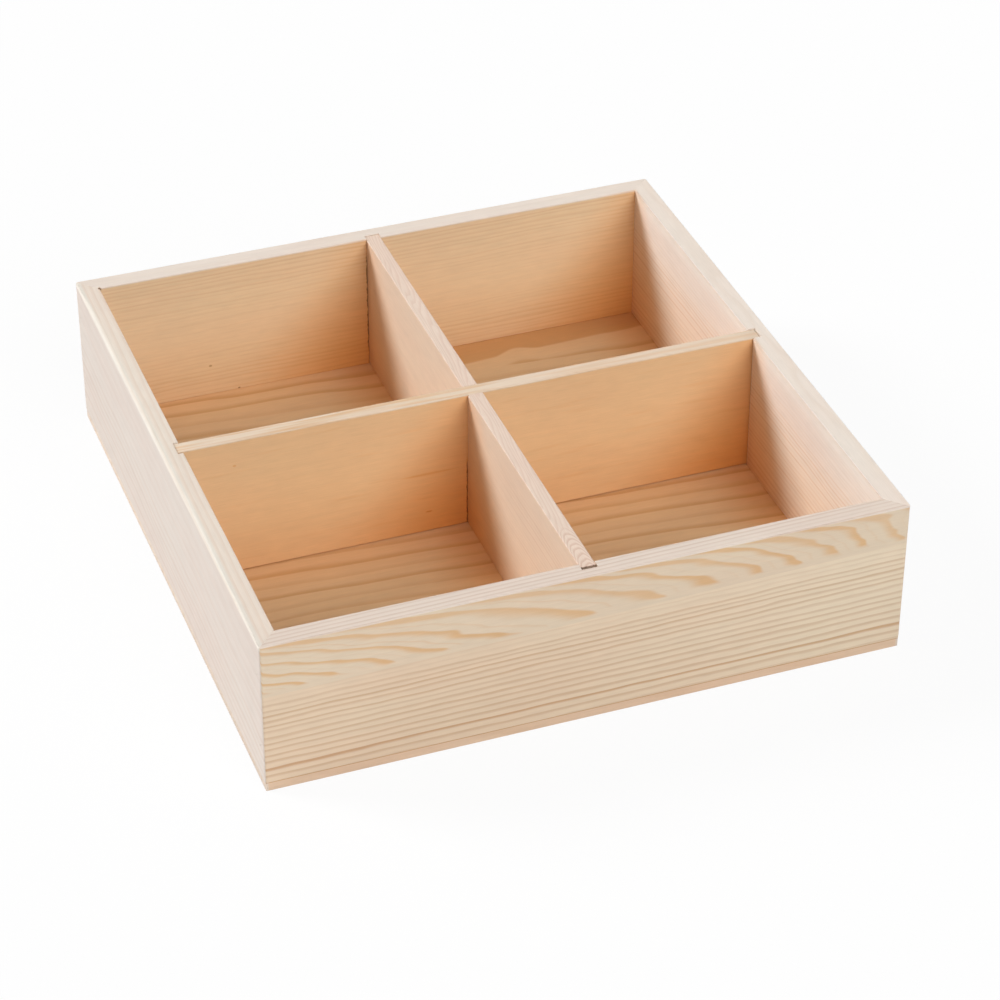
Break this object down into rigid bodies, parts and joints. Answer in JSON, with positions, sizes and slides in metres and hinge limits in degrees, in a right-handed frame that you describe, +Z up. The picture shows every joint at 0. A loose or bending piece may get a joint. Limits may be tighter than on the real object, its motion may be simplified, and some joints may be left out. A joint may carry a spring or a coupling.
{
  "type": "compartment tray",
  "caption": "Low open pine tray with mitred walls on a flat bottom and crossing lift-out dividers that part it into equal compartments.",
  "frame": {"origin": "middle of the underside, where the tray rests on the table", "axes": "+X right along the front wall, +Y from the front wall to the back wall, +Z up"},
  "size_m": [0.25, 0.258, 0.065],
  "materials": {
    "pine_wall": "bare sanded pine",
    "pine_bottom": "bare sanded pine",
    "pine_divider": "bare sanded pine",
    "steel": "bright drawn wire"
  },
  "bodies": {
    "tray": {"front_wall": "pine_wall", "back_wall": "pine_wall", "left_wall": "pine_wall", "right_wall": "pine_wall", "bottom_panel": "pine_bottom", "corner_pins": "steel", "bottom_brads": "steel"},
    "front_back_divider": {"front_back_divider": "pine_divider"},
    "left_right_divider": {"left_right_divider": "pine_divider"}
  },
  "joints": [
    {"name": "front_back_divider_lift", "type": "slide", "parent": "tray", "child": "front_back_divider", "axis": [0, 0, 1], "range_m": [0, 0.066]},
    {"name": "left_right_divider_lift", "type": "slide", "parent": "front_back_divider", "child": "left_right_divider", "axis": [0, 0, 1], "range_m": [0, 0.066]}
  ]
}
